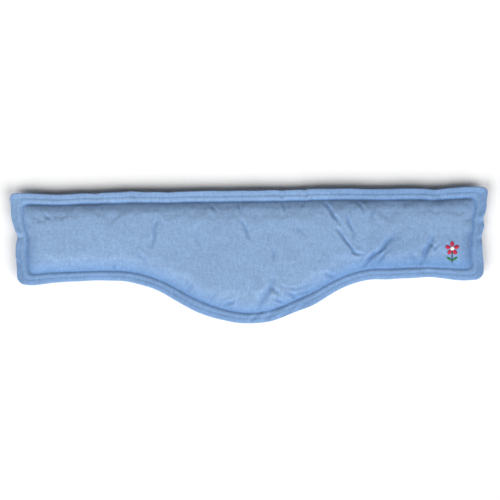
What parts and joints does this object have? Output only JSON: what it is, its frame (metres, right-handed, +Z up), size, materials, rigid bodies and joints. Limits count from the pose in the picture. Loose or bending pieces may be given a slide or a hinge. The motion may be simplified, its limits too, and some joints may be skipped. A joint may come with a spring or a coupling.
{
  "type": "contoured hot and cold gel pack",
  "caption": "Long soft gel pack with a rounded middle lobe and a double welded border, laid over the eyes or round the neck, hot or cold.",
  "frame": {"origin": "on the table, under the middle of the pack's overall outline", "axes": "+X along the pack's length, towards the embroidered end; +Y towards its straight long edge; +Z up, out of the front face"},
  "size_m": [0.52, 0.145, 0.0178],
  "materials": {
    "front_fabric": "brushed matt",
    "back_fabric": "brushed matt",
    "film": "clear gloss",
    "gel": "wet gloss",
    "embroidery_backing": "matt non-woven",
    "bobbin_thread": "matt",
    "red_thread": "satin",
    "white_thread": "satin",
    "green_thread": "satin",
    "dark_thread": "satin"
  },
  "bodies": {
    "root": {"front_fabric": "front_fabric", "front_film": "film", "gel_filling": "gel", "back_film": "film", "back_fabric": "back_fabric", "embroidery_backing": "embroidery_backing", "motif_bobbin_thread": "bobbin_thread", "motif_petals": "red_thread", "motif_centre": "white_thread", "motif_leaves": "green_thread", "motif_stem": "dark_thread"}
  },
  "joints": []
}
